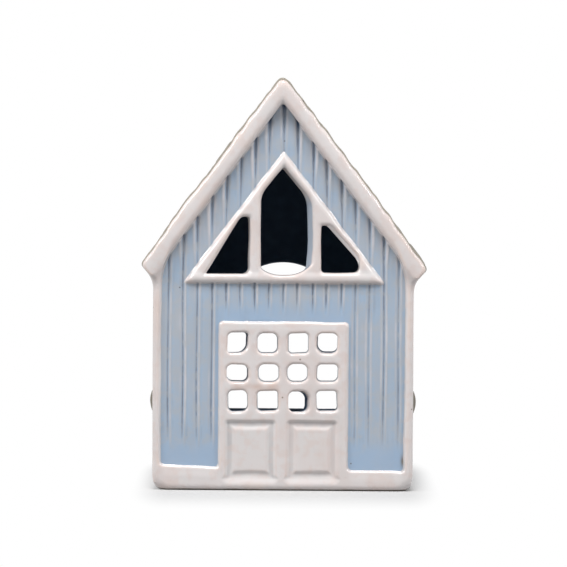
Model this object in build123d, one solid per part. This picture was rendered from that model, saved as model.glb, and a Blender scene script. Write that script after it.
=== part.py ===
from build123d import *
import os
from math import atan2, cos, radians, sin, tan

# A glazed stoneware house for one tealight, in millimetres.
# The front looks towards -Y, +Z is up, and the origin is the middle of the underside.

# House body
wall_height = 83.9          # outer top edge of the walls, where the roof's underside meets them
body_width = 101.2          # across the corner posts
body_depth = 80.0           # from the front posts' face to the rear posts' face
wall_thickness = 4.8
trim_proud = 1.2            # posts and plinth stand out this far from the boards
floor_thickness = 4.0
plinth_height = 9.5         # from the ground
plinth_foot = 3.6           # width of the plinth's foot, beside the floor slab
plinth_edge_radius = 2.4    # lower outer edge
post_width = 3.1
corner_radius = 2.0         # upright outer corners
roundest = 0.45             # largest corner radius, as a share of the shorter side

# Boards on the walls
board_pitch = 5.6
board_groove_radius = 0.9
board_groove_depth = 0.6
board_foot = 7.5            # plain strip between the plinth and the ends of the grooves
board_edge = 1.5            # least width of a board beside a corner

# Roof
roof_pitch = 53.13          # degrees from level
roof_thickness = 6.6        # square to the slope
eave_overhang = 6.0         # level reach from the wall to the eave tip
ridge_radius = 3.5
eave_radius = 1.8
bargeboard_depth = 3.6
verge_step = 0.4            # the roof stands out this far past the bargeboards
verge_radius = 1.2          # front edges of the bargeboards
course_pitch = 12.2         # along the slope, from the eave up
course_groove_radius = 1.0
course_groove_depth = 0.5
ridge_plain = 5.0           # plain strip beside the ridge

# Door
door_width = 49.4
door_proud = 1.4            # in front of the boards
lintel_height = 15.5        # boards between the door and the gable window
lintel_plain = 4.8          # plain strip above the door, below the ends of the grooves
door_corner_radius = 1.5
stile_width = 3.6
muntin_width = 4.0
top_rail = 4.2
lock_rail = 4.1
bottom_rail = 1.2
meeting_stile = 5.6         # middle of the door, between the two panels
pane_columns = 4
pane_heights = (8.0, 6.2, 8.2)
pane_radius = 2.2
panel_recess = 1.2
panel_radius = 2.0
field_margin = 1.5          # moat between a panel's frame and its raised field
field_rise = 0.8

# Gable window
window_border = 12.1        # boards between the roof's underside and the window, square to the slope
window_drop = 3.3           # from the walls' top edge down to the window's foot
sill_height = 3.2
rake_width = 3.3
mullion_width = 4.8
mullion_spacing = 23.0      # between the centres of the two mullions
frame_proud = 1.6           # rakes and mullions in front of the boards
sill_proud = 2.0
light_radius = 1.6

# Rear opening
arch_width = 48.0
arch_height = 60.6
arch_sill = 20.5            # above the floor slab

# Side lugs
lug_diameter = 12.0
lug_rise = 3.8
lug_height = 31.0           # centre above the ground
lug_pad = 0.5               # plain wall round a lug

# Tealight
cup_diameter = 38.0
cup_height = 16.0
cup_wall = 0.35
cup_rim_reach = 0.25
cup_rim_height = 0.7
cup_front_gap = 4.75        # between the cup's rim and the front wall
wax_clearance = 0.3
wax_height = 12.6
wick_diameter = 1.6
wick_reach = 9.0            # above the wax
sustainer_diameter = 15.0
sustainer_thickness = 0.4
collar_wall = 0.8
collar_height = 3.2

# Worked out from the driving dimensions
half_width = body_width / 2
half_depth = body_depth / 2
rise_per_run = tan(radians(roof_pitch))
slope_out = (sin(radians(roof_pitch)), cos(radians(roof_pitch)))     # outward, right-hand slope
slope_down = (cos(radians(roof_pitch)), -sin(radians(roof_pitch)))   # down, right-hand slope
board_face = half_depth - trim_proud
wall_inside = board_face - wall_thickness
side_face = half_width - trim_proud
side_inside = side_face - wall_thickness
groove_start = plinth_height + board_foot
roof_end = board_face + bargeboard_depth


def underside(x):
    """Height of the roof's underside at a distance x from the middle."""
    return wall_height + (half_width - abs(x)) * rise_per_run


apex_inside = underside(0)
apex_outside = apex_inside + roof_thickness / cos(radians(roof_pitch))
eave_x = half_width + eave_overhang
eave_z = apex_outside - eave_x * rise_per_run
tall = 2 * apex_outside

window_foot = wall_height - window_drop
window_apex = apex_inside - window_border / cos(radians(roof_pitch))
light_foot = window_foot + sill_height
light_apex = window_apex - rake_width / cos(radians(roof_pitch))
door_top = window_foot - lintel_height
door_front = board_face + door_proud

rim_radius = cup_diameter / 2 + cup_rim_reach
tealight_y = -wall_inside + cup_front_gap + rim_radius
cup_floor = floor_thickness + cup_wall
wax_top = cup_floor + wax_height


def outline(*points):
    """A closed face through the given points."""
    return make_face(Polyline(*points, close=True))


def across(face, y_front, y_rear):
    """A drawing in X and Z, made solid between two depths."""
    return extrude(Plane.XZ.offset(-y_rear) * face, amount=y_rear - y_front)


def upright(face, z_low, z_high):
    """A plan in X and Y, made solid between two heights."""
    return extrude(Plane.XY.offset(z_low) * face, amount=z_high - z_low)


def block(x_range, y_range, z_range):
    """A box given by its lowest and highest X, Y and Z."""
    plan = outline(
        (x_range[0], y_range[0]),
        (x_range[1], y_range[0]),
        (x_range[1], y_range[1]),
        (x_range[0], y_range[1]),
    )
    return upright(plan, *z_range)


def rounded(width, height, radius):
    """A rectangle whose corners are no rounder than its shorter side has room for."""
    return RectangleRounded(width, height, min(radius, roundest * min(width, height)))


def disc(radius, z_low, z_high):
    """An upright cylinder on the tealight's axis."""
    return upright(Pos(0, tealight_y) * Circle(radius), z_low, z_high)


def to_left(solid):
    """The left-hand twin of a right-hand piece."""
    return mirror(solid, about=Plane.YZ)


def to_rear(solid):
    """The rear twin of a front piece."""
    return mirror(solid, about=Plane.XZ)


# Space under the roof, which trims the walls and the posts
under_roof = across(
    outline(
        (-half_width, floor_thickness),
        (half_width, floor_thickness),
        (half_width, underside(half_width)),
        (0, apex_inside),
        (-half_width, underside(half_width)),
    ),
    -half_depth,
    half_depth,
)


def groove_places(reach):
    """Board joints either side of the middle, up to the last whole board."""
    count = int((reach - board_edge) / board_pitch)
    return [step * board_pitch for step in range(-count, count + 1)]


def board_groove(x, y_face):
    """A half-round upright groove in a face that looks towards -Y."""
    centre = y_face - board_groove_radius + board_groove_depth
    return upright(Pos(x, centre) * Circle(board_groove_radius), groove_start, tall)


# Floor slab and plinth band
footprint = rounded(body_width, body_depth, corner_radius)
floor_plan = Rectangle(body_width - 2 * plinth_foot, body_depth - 2 * plinth_foot)
floor_slab = upright(floor_plan, 0, floor_thickness)

doorway = block((-door_width / 2, door_width / 2), (-tall, 0), (floor_thickness, door_top))
plinth_inside = Rectangle(body_width - 2 * trim_proud, body_depth - 2 * trim_proud)
plinth_band = upright(footprint, 0, plinth_height)
plinth_band = fillet(plinth_band.faces().sort_by(Axis.Z)[0].edges(), plinth_edge_radius)
plinth_band -= floor_slab + upright(plinth_inside, floor_thickness, plinth_height) + doorway

# Gable window openings, drawn in X and Z
light_half = (light_apex - light_foot) / rise_per_run
window_half = (window_apex - window_foot) / rise_per_run
rake_foot_half = (window_apex - light_foot) / rise_per_run
light = outline((-light_half, light_foot), (light_half, light_foot), (0, light_apex))
light = fillet(light.vertices(), light_radius)
window_zone = across(
    outline((-window_half, window_foot), (window_half, window_foot), (0, window_apex)),
    -tall,
    tall,
)

# Front and rear walls
wall_half = half_width - post_width
wall_plan = block((-wall_half, wall_half), (-board_face, -wall_inside), (floor_thickness, tall))
gable_wall = wall_plan & under_roof
wall_grooves = Part() + [board_groove(x, -board_face) for x in groove_places(wall_half)]
lintel_zone = block(
    (-door_width / 2 - board_edge, door_width / 2 + board_edge),
    (-tall, 0),
    (0, door_top + lintel_plain),
)
front_grooves = wall_grooves - window_zone - lintel_zone
front_wall = gable_wall - doorway - across(light, -tall, 0) - front_grooves

arch_radius = arch_width / 2
arch_foot = floor_thickness + arch_sill
arch_centre = arch_foot + arch_height - arch_radius
arch_drawing = Pos(0, arch_centre) * Circle(arch_radius) + outline(
    (-arch_radius, arch_foot),
    (arch_radius, arch_foot),
    (arch_radius, arch_centre),
    (-arch_radius, arch_centre),
)
rear_wall = to_rear(gable_wall - wall_grooves) - across(arch_drawing, 0, tall)

# Side walls and their lugs
lug_radius = lug_diameter / 2
cap_radius = (lug_radius**2 + lug_rise**2) / (2 * lug_rise)
cap_centre = side_face + lug_rise - cap_radius
cap_turn = atan2(lug_radius, cap_radius - lug_rise) / 2
lug_arc = ThreePointArc(
    (side_face + lug_rise, lug_height),
    (cap_centre + cap_radius * cos(cap_turn), lug_height + cap_radius * sin(cap_turn)),
    (side_face, lug_height + lug_radius),
)
lug_sides = Polyline(
    (side_face, lug_height + lug_radius),
    (side_face, lug_height),
    (side_face + lug_rise, lug_height),
)
lug_axis = Axis((0, 0, lug_height), (1, 0, 0))
right_side_lug = revolve(Plane.XZ * make_face(lug_arc + lug_sides), lug_axis)
lug_plane = Plane((side_face, 0, lug_height), z_dir=(1, 0, 0))
lug_zone = extrude(lug_plane * Circle(lug_radius + lug_pad), amount=wall_thickness, both=True)
side_plan = block((side_inside, side_face), (-wall_inside, wall_inside), (floor_thickness, tall))
side_grooves = Part() + [
    Rot(0, 0, 90) * board_groove(y, -side_face) for y in groove_places(wall_inside)
]
right_wall = (side_plan & under_roof) - (side_grooves - lug_zone)

# Corner posts, let over the plinth band
post_plan = outline(
    (wall_half, -half_depth),
    (half_width, -half_depth),
    (half_width, -wall_inside),
    (wall_half, -wall_inside),
)
post_corner = post_plan.vertices().sort_by(Axis.X)[2:].sort_by(Axis.Y)[0]
post_plan = fillet(post_corner, corner_radius)
front_right_corner_post = (upright(post_plan, floor_thickness, tall) & under_roof) - plinth_band

# Roof slabs and bargeboards, drawn in X and Z as the right-hand half of the gable
right_half = outline((0, 0), (tall, 0), (tall, tall), (0, tall))


def slope_section(inset):
    """Section of the right-hand slope, its outer side and its eave drawn in by an inset."""
    depth = roof_thickness - inset
    apex = apex_inside + depth / cos(radians(roof_pitch))
    tip_x = eave_x - inset * (slope_out[0] + slope_down[0])
    tip_z = eave_z - inset * (slope_out[1] + slope_down[1])
    foot_x = tip_x - depth * slope_out[0]
    foot_z = tip_z - depth * slope_out[1]
    gable = outline(
        (0, apex_inside),
        (foot_x, foot_z),
        (tip_x, tip_z),
        (0, apex),
        (-tip_x, tip_z),
        (-foot_x, foot_z),
    )
    gable = fillet(gable.vertices().sort_by(Axis.Y)[-1], ridge_radius - inset)
    gable = fillet(gable.vertices().sort_by(Axis.Y)[:4], eave_radius)
    return gable & right_half


slope_length = eave_x / cos(radians(roof_pitch))
course_count = int((slope_length - ridge_plain) / course_pitch)
groove_lift = course_groove_radius - course_groove_depth
course_grooves = [
    Pos(
        eave_x - step * course_pitch * slope_down[0] + groove_lift * slope_out[0],
        eave_z - step * course_pitch * slope_down[1] + groove_lift * slope_out[1],
    )
    * Circle(course_groove_radius)
    for step in range(1, course_count + 1)
]
right_roof_slab = across(slope_section(0) - course_grooves, -board_face, board_face)
front_right_bargeboard = across(slope_section(verge_step), -roof_end, -board_face)
verge_face = front_right_bargeboard.faces().sort_by(Axis.Y)[0]
verge_edges = verge_face.edges().sort_by(Axis.X)[1:]
front_right_bargeboard = fillet(verge_edges, verge_radius)

# Gable window frame
gable_window_sill = block(
    (-window_half, window_half),
    (-board_face - sill_proud, -board_face),
    (window_foot, light_foot),
)
frame_front = -board_face - frame_proud
gable_window_right_rake = across(
    outline(
        (0, light_apex),
        (light_half, light_foot),
        (rake_foot_half, light_foot),
        (0, window_apex),
    ),
    frame_front,
    -board_face,
)
mullion_in = (mullion_spacing - mullion_width) / 2
mullion_out = (mullion_spacing + mullion_width) / 2
gable_window_right_mullion = across(
    outline(
        (mullion_in, light_foot),
        (mullion_out, light_foot),
        (mullion_out, light_apex - mullion_out * rise_per_run),
        (mullion_in, light_apex - mullion_in * rise_per_run),
    ),
    frame_front,
    -wall_inside,
)

# Double door: panes pierced through, panels sunk with raised fields
door_plate = outline(
    (-door_width / 2, floor_thickness),
    (door_width / 2, floor_thickness),
    (door_width / 2, door_top),
    (-door_width / 2, door_top),
)
double_door = across(door_plate, -board_face, -wall_inside)
relief_corners = door_plate.vertices().sort_by(Axis.Y)[2:]
double_door += across(fillet(relief_corners, door_corner_radius), -door_front, -board_face)
panes_width = door_width - 2 * stile_width - (pane_columns - 1) * muntin_width
pane_width = panes_width / pane_columns
row_top = door_top - top_rail
for pane_height in pane_heights:
    row_middle = row_top - pane_height / 2
    for column in range(pane_columns):
        step = column - (pane_columns - 1) / 2
        pane = rounded(pane_width, pane_height, pane_radius)
        pane = Pos(step * (pane_width + muntin_width), row_middle) * pane
        double_door -= across(pane, -tall, 0)
    row_top -= pane_height + muntin_width
panel_top = row_top + muntin_width - lock_rail
panel_foot = floor_thickness + bottom_rail
panel_height = panel_top - panel_foot
panel_width = (door_width - 2 * stile_width - meeting_stile) / 2
recess_face = -door_front + panel_recess
for side in (-1, 1):
    place = Pos(side * (panel_width + meeting_stile) / 2, (panel_top + panel_foot) / 2)
    recess = rounded(panel_width, panel_height, panel_radius)
    field = rounded(
        panel_width - 2 * field_margin,
        panel_height - 2 * field_margin,
        panel_radius,
    )
    double_door -= across(place * recess, -tall, recess_face)
    double_door += across(place * field, recess_face - field_rise, recess_face)

# Tealight cup, on the floor slab behind the door
cup_top = floor_thickness + cup_height
tealight_cup = disc(cup_diameter / 2, floor_thickness, cup_top)
tealight_cup += disc(rim_radius, cup_top - cup_rim_height, cup_top)
tealight_cup -= disc(cup_diameter / 2 - cup_wall, cup_floor, tall)

# Candle: tin sustainer, wick and wax
wick_radius = wick_diameter / 2
disc_top = cup_floor + sustainer_thickness
collar_top = disc_top + collar_height
wick_sustainer = disc(sustainer_diameter / 2, cup_floor, disc_top)
wick_sustainer += disc(wick_radius + collar_wall, disc_top, collar_top)
wick_sustainer -= disc(wick_radius, disc_top, tall)
candle_wick = disc(wick_radius, disc_top, wax_top + wick_reach)
candle_wax = disc(cup_diameter / 2 - cup_wall - wax_clearance, cup_floor, wax_top)
candle_wax -= disc(sustainer_diameter / 2, cup_floor, disc_top)
candle_wax -= disc(wick_radius + collar_wall, disc_top, collar_top)
candle_wax -= disc(wick_radius, collar_top, wax_top)

pieces = {
    "floor_slab": floor_slab,
    "plinth_band": plinth_band,
    "front_wall": front_wall,
    "rear_wall": rear_wall,
    "left_wall": to_left(right_wall),
    "right_wall": right_wall,
    "left_roof_slab": to_left(right_roof_slab),
    "right_roof_slab": right_roof_slab,
    "front_left_bargeboard": to_left(front_right_bargeboard),
    "front_right_bargeboard": front_right_bargeboard,
    "rear_left_bargeboard": to_rear(to_left(front_right_bargeboard)),
    "rear_right_bargeboard": to_rear(front_right_bargeboard),
    "front_left_corner_post": to_left(front_right_corner_post),
    "front_right_corner_post": front_right_corner_post,
    "rear_left_corner_post": to_rear(to_left(front_right_corner_post)),
    "rear_right_corner_post": to_rear(front_right_corner_post),
    "double_door": double_door,
    "gable_window_sill": gable_window_sill,
    "gable_window_left_rake": to_left(gable_window_right_rake),
    "gable_window_right_rake": gable_window_right_rake,
    "gable_window_left_mullion": to_left(gable_window_right_mullion),
    "gable_window_right_mullion": gable_window_right_mullion,
    "left_side_lug": to_left(right_side_lug),
    "right_side_lug": right_side_lug,
    "tealight_cup": tealight_cup,
    "candle_wax": candle_wax,
    "candle_wick": candle_wick,
    "wick_sustainer": wick_sustainer,
}

os.makedirs("parts", exist_ok=True)
for name, piece in pieces.items():
    export_step(piece, f"parts/{name}.step")
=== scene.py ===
import math
from functools import reduce

import bpy
import numpy as np
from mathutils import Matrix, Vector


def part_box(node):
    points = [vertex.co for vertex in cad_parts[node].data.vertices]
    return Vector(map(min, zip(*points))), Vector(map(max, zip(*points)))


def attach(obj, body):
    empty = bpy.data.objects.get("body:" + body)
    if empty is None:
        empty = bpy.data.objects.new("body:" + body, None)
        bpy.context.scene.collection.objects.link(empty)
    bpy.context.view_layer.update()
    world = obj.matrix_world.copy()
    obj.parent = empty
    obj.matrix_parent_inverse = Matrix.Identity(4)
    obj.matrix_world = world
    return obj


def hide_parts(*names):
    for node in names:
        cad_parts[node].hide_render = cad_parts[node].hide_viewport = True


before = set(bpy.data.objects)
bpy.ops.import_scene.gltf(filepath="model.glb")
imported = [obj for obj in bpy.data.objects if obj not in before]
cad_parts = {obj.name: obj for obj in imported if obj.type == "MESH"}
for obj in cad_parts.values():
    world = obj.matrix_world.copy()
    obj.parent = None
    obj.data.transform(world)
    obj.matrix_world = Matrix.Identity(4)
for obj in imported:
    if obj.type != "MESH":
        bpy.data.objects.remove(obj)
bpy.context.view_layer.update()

import openvdb as vdb
from mathutils import Matrix, Vector

# A glazed stoneware house for one tealight. Its pieces are drawn as distance fields in millimetres,
# negative inside the clay, and meshed in metres in the frame of the construction.

MILLIMETRE = 0.001


def span(node):
    """A node's lowest and highest corners, in millimetres."""
    return [np.array(corner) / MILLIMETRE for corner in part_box(node)]


# Sizes read from the frame
wall_low, wall_high = span("front_wall")
post_low, post_high = span("front_right_corner_post")
plinth_low, plinth_high = span("plinth_band")
door_low, door_high = span("double_door")
sill_low, sill_high = span("gable_window_sill")
rake_low, rake_high = span("gable_window_right_rake")
verge_low, verge_high = span("front_right_bargeboard")
lug_low, lug_high = span("right_side_lug")
cup_low, cup_high = span("tealight_cup")
wax_low, wax_high = span("candle_wax")
wick_low, wick_high = span("candle_wick")
disc_low, disc_high = span("wick_sustainer")

board_face = -wall_low[1]
wall_inside = -wall_high[1]
wall_half = wall_high[0]
apex = wall_high[2]
floor_top = wall_low[2]
half_width = post_high[0]
half_depth = -post_low[1]
side_face = span("right_wall")[1][0]
side_inside = span("right_wall")[0][0]
verge_face = -verge_low[1]
plinth_top = plinth_high[2]
door_half = door_high[0]
door_top = door_high[2]
door_face = -door_low[1]
window_half = sill_high[0]
window_foot = sill_low[2]
light_foot = sill_high[2]
window_apex = rake_high[2]
frame_face = -rake_low[1]
sill_face = -sill_low[1]

# Roof
roof_pitch = math.radians(53.13)
slope_sin = math.sin(roof_pitch)
slope_cos = math.cos(roof_pitch)
roof_thickness = 6.25
roof_thinning = 0.3         # the slopes thin by this towards the eaves
roof_lean = 0.65            # the ridge lies this far left of the middle
roof_wave = 0.4             # hand-made waves along the roof's edge
roof_nicks = 0.3            # and shorter ones
roof_swell = 0.45           # and one swelling low on the left, at this place and of this reach
swell_place = -41.0
swell_reach = 7.0
verge_step = 0.65           # the roof stands out this far past the white verge
verge_drop = 0.6            # the verge laps this far over the boards
slope_length = 86.1         # from the ridge's underside to the eave's end
verge_length = 85.8
eave_short = 1.2            # the left eave ends this much sooner
ridge_keen = 0.7            # rounding of the slopes where they meet
ridge_top = apex + 8.4      # the ridge is pressed flat at this height
ridge_round = 1.0
course_pitch = 12.2
course_count = 7
course_depth = 0.55
course_half = 0.8

# Boards
board_pitch = 5.55
gable_start = 84.0          # from here up, the lines are drawn as in the gable
gable_full = 96.0
board_edge = 1.5
groove_start = 17.0
groove_depth = 0.42
groove_half = 0.46
burr_share = 0.58           # height of the clay pushed up beside a line, against the line's depth
burr_place = 2.2            # its distance from the line, against the line's half width
burr_spread = 1.25
board_crown = 0.12
peak_hollow = 0.8           # the gable lies back by this under the ridge

# Posts and plinth
trim_round = 1.3            # rounding of the posts' and the door's edges
plinth_round = 0.5          # and of the plinth's upper edge and the door's head
strip_fillet = 1.6          # rounding of the inner corners where strips meet
post_fillet = 5.0           # and where a post runs into the verge
post_flare = 0.005          # the right-hand side widens by this towards the foot
plinth_sunk = 1.5           # the plinth's uneven edge lies this far under the construction's
plinth_thinning = 0.3       # it thins by this towards that edge
plinth_fall = 0.014         # the edge falls by this to the right
plinth_climb = 0.045        # and climbs by this to the left of the door
corner_round = 2.4          # rounding of the house's upright edges
plan_corner = 2.0           # and of the outline, seen from above, that cuts plinth and floor
front_foot = 2.6            # and of its foot, in front and behind
side_foot = 4.2             # and at the sides
side_foot_rise = 0.6        # where it reaches further up than in

# Gable window
rake_width = 3.3
light_apex = window_apex - rake_width / slope_cos
frame_apex = (-0.2, window_apex - 0.3)
frame_pitches = (52.9, 52.4)        # of the frame's outer edges, left and right, in degrees
frame_round = 2.1
light_round = 1.45
mullion_place = 11.6
mullion_reach = 4.5
blue_top = 113.0            # the blue on the right-hand mullion's flank starts here
blue_side = 14.0

# Lights of the gable window. A reveal is how far the right-hand wall of a cut shows from the front.
middle_edges = (-8.85, 8.9)
middle_curve = 0.8          # the right-hand edge curves in by this at curve_reach from curve_height
curve_height = 99.0
curve_reach = 15.0
middle_foot = 83.5
middle_bow = 2.6            # the foot rises by this at bow_half from the middle
bow_half = 8.8
middle_point = (-0.9, 124.6)
middle_pitches = (51.5, 50.2)
middle_reveals = (2.8, 1.5)         # beside the light and over it
left_corner = (-29.9, 84.2)
left_pitch = 58.9
left_edge = -14.0
left_foot = 84.0
left_top = 106.3
left_reveal = 1.2
right_shoulder = (16.5, 102.5)
right_pitch = 48.2
right_edges = (14.45, 28.9)
right_foot = 84.6
right_top = 102.9
right_reveals = (1.8, 0.4)          # along the slanting edge and at the far end

# Door
stile_width = 3.6
muntin_width = 4.0
top_rail = 4.25
pane_columns = 4
pane_heights = (7.3, 6.6, 7.6)
pane_pitches = (12.0, 10.2)         # from the top of one row of panes to the next
pane_radii = (1.55, 2.2, 1.85)
pane_rim = 1.15             # rounding of the panes' edges
door_thinning = 0.12        # the door thins by this towards its head
door_shift = 0.25           # it lies this far right of the middle
door_corner = 2.0
panel_foot = 4.2
panel_top = 27.4
panel_inner = 2.1           # from the middle of the door to a panel
panel_outer = 3.0           # and from the door's edge
panel_shift = -0.5          # the panels lie this far right of the middle
panel_corner = 1.5
panel_lip = 0.5             # the slope into a panel starts this far outside it
panel_sill = 1.5            # and this much further down at its foot
panel_depth = 0.86
panel_slope = 2.0           # width of the slope down into a panel
field_margin = 2.0
field_bevel = 2.0
field_rise = 0.62

# Side lugs
lug_lift = 0.3
lug_stretch = 1.35
lug_swell = 0.15            # the right-hand one is this much fuller, the left-hand one flatter

# Rear arch
arch_half = 24.0
arch_foot = 25.0
arch_spring = 61.1

# Modelling
skirt = 0.8                 # a strip's glaze laps this far onto the boards
lap = 0.05                  # and lies this thick there
melt = 0.8                  # fillet between a strip and the boards
sunk = 0.8                  # a strip goes this far into the wall
dive = 0.1                  # a piece dips by this at its ends, under the piece that it runs into
dive_reach = 0.9
layer = 0.012               # and lies this far under a piece that covers part of it
edge_reach = 0.9            # distance over which edges and hollows are felt
coarseness = 1.0


# Drawing tools

def smin(a, b, k):
    """Union of two fields with a fillet of about k."""
    h = np.maximum(k - np.abs(a - b), 0) / k
    return np.minimum(a, b) - h * h * k / 4


def smax(a, b, k):
    """Intersection of two fields with an edge rounded by about k."""
    return -smin(-a, -b, k)


def common(*fields):
    """Intersection of fields, with sharp edges."""
    return reduce(np.maximum, fields)


def rounded(past_x, past_y, radius):
    """Distance outside a rectangle with round corners, from the distances past its sides."""
    past_x = past_x + radius
    past_y = past_y + radius
    outside = np.sqrt(np.maximum(past_x, 0) ** 2 + np.maximum(past_y, 0) ** 2)
    return outside + np.minimum(np.maximum(past_x, past_y), 0) - radius


def bell(value):
    """1 at 0, falling off softly to both sides."""
    return np.exp(-(value**2))


def smoothstep(low, high, value):
    """A soft step from 0 at low to 1 at high."""
    t = np.clip((value - low) / (high - low), 0, 1)
    return t * t * (3 - 2 * t)


def ripple(seed, length, *coordinates):
    """Hand-made unevenness between -1 and 1, of about this wavelength."""
    rng = np.random.default_rng(seed)
    waves = 5
    total = 0
    for _ in range(waves):
        direction = rng.normal(size=len(coordinates))
        direction *= 2 * np.pi / (length * rng.uniform(0.7, 1.5) * np.linalg.norm(direction))
        phase = rng.uniform(0, 2 * np.pi)
        total = total + np.sin(phase + sum(d * c for d, c in zip(direction, coordinates)))
    return total / waves


class Grid:
    """Sample points of a box, in millimetres, as three arrays that broadcast together."""

    def __init__(self, low, high, step):
        self.low = np.array(low, float)
        self.step = np.array(step, float) * coarseness
        counts = np.ceil((np.array(high) - self.low) / self.step).astype(int) + 1
        axes = [self.low[i] + self.step[i] * np.arange(counts[i]) for i in range(3)]
        self.X = axes[0].astype(np.float32)[:, None, None]
        self.Y = axes[1].astype(np.float32)[None, :, None]
        self.Z = axes[2].astype(np.float32)[None, None, :]
        self.shape = tuple(counts)


class Points:
    """Loose points, with the same names as a grid."""

    def __init__(self, places):
        self.X, self.Y, self.Z = places.T


def blurred(values, radii):
    """Mean over a box of samples, with the border repeated."""
    for axis, radius in enumerate(radii):
        padding = [(0, 0)] * 3
        padding[axis] = (radius + 1, radius)
        total = np.cumsum(np.pad(values, padding, mode="edge"), axis=axis, dtype=np.float64)
        width = 2 * radius + 1
        upper = np.take(total, np.arange(width, total.shape[axis]), axis=axis)
        lower = np.take(total, np.arange(0, total.shape[axis] - width), axis=axis)
        values = (upper - lower) / width
    return values


def sampled(values, places):
    """A grid's values at index places, straight between the samples."""
    base = np.clip(np.floor(places).astype(int), 0, np.array(values.shape) - 2)
    part = places - base
    result = 0
    for corner in np.ndindex(2, 2, 2):
        weight = np.prod(np.where(corner, part, 1 - part), axis=1)
        result = result + weight * values[tuple((base + corner).T)]
    return result


def placed(name, data):
    """A new object in the scene."""
    thing = bpy.data.objects.new(name, data)
    bpy.context.scene.collection.objects.link(thing)
    return thing


def mesh_object(name, points, faces, notes):
    """A smooth mesh of equal-sided faces from points in millimetres, with values noted on them."""
    mesh = bpy.data.meshes.new(name)
    mesh.vertices.add(len(points))
    mesh.vertices.foreach_set("co", (points * MILLIMETRE).astype(np.float32).ravel())
    mesh.loops.add(faces.size)
    mesh.loops.foreach_set("vertex_index", faces.astype(np.int32).ravel())
    mesh.polygons.add(len(faces))
    mesh.polygons.foreach_set("loop_start", np.arange(0, faces.size, faces.shape[1], dtype=np.int32))
    mesh.polygons.foreach_set("use_smooth", np.ones(len(faces), bool))
    mesh.update(calc_edges=True)
    mesh.validate()
    for note, values in notes.items():
        mesh.attributes.new(note, "FLOAT", "POINT").data.foreach_set("value", values.astype(np.float32))
    return placed(name, mesh)


def dress(piece, node, body, slot, material):
    """A piece takes a node's place, body and finish."""
    piece.data.materials.append(material)
    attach(piece, body)
    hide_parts(node)


def sculpt(node, shape, step, slot, material, grow=1.6, rank=0, **notes):
    """Meshes one clay piece. The shape gives its smooth surface and the limits that cut it out of it,
    its rank says over how many layers it lies under its neighbours, and each note says at every point
    how far a finish shows."""
    low, high = span(node)
    grid = Grid(low - np.array(grow), high + np.array(grow), step)
    surface, limits = shape(grid)
    surface = np.broadcast_to(surface, grid.shape).astype(np.float32)
    dipped = surface + rank * layer + dive * smoothstep(-dive_reach, 0, limits)
    solid = np.maximum(dipped, limits).astype(np.float32)
    for axis in range(3):
        ends = np.moveaxis(solid, axis, 0)
        ends[0] = np.maximum(ends[0], 1)
        ends[-1] = np.maximum(ends[-1], 1)
    volume = vdb.FloatGrid(3.0)
    volume.copyFromArray(solid, tolerance=0.0)
    places, faces = volume.convertToQuads(0.0)
    faces = np.array(faces)
    places = np.array(places, float)
    points = grid.low + places * grid.step
    corners = points[faces]
    turned = np.cross(corners[:, 1] - corners[:, 0], corners[:, 3] - corners[:, 0])
    if (turned * corners[:, 0]).sum() < 0:
        faces = faces[:, ::-1]
    radii = np.maximum(np.round(edge_reach / grid.step).astype(int), 1)
    edge = np.clip(sampled(blurred(surface, radii), places) / 0.25, -1, 1)
    noted = {name: note(Points(points)) for name, note in notes.items()}
    piece = mesh_object(f"{node}_clay", points, faces, {"edge": edge, **noted})
    dress(piece, node, "house", slot, material)


# Roof, verge and boards

def slope(g):
    """Height over the roof's underside, square to the slope, and the way down the slope."""
    lean = roof_lean * np.clip((g.Z - post_high[2]) / (apex - post_high[2]), 0, 1.1)
    run = np.sqrt((g.X + lean) ** 2 + ridge_keen**2)
    rise = g.Z - apex
    down = run * slope_cos - rise * slope_sin + eave_short * smoothstep(0, -40, g.X)
    return run * slope_sin + rise * slope_cos, down


def roof_top(g, over):
    """Distance outside the slopes, which wave a little and thin towards the eaves."""
    wave = roof_wave * ripple(15, 13, g.X, 0.3 * g.Y) + roof_nicks * ripple(17, 5, g.X, 0.2 * g.Y)
    wave = wave - roof_swell * bell((g.X - swell_place) / swell_reach)
    top = over - roof_thickness + wave + roof_thinning * smoothstep(125, 92, g.Z)
    return smax(top, slope_cos * (g.Z - ridge_top), ridge_round)


def verge_front(g, facing):
    """Distance in front of the verge's slightly crowned face."""
    crown = 0.03 * np.clip(slope(g)[0] - 2.7, -3.3, 4.5) ** 2
    return facing * g.Y - verge_face + 0.25 + crown + 0.15 * ripple(12, 34, g.X, g.Z)


def verge(g, facing):
    """The white strips along both slopes of one gable."""
    outward = facing * g.Y
    inner, down = slope(g)
    top = roof_top(g, inner) + verge_step
    face = verge_front(g, facing)
    under = -inner - verge_drop + 0.18 * ripple(13 + facing, 22, g.X, g.Y)
    band = smax(top, down - verge_length + 0.1 * ripple(14, 9, g.X, g.Y), 2.2)
    band = smax(smax(band, face, 1.7), under, 2.4)
    return np.maximum(band, board_face - 0.4 - outward)


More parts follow.
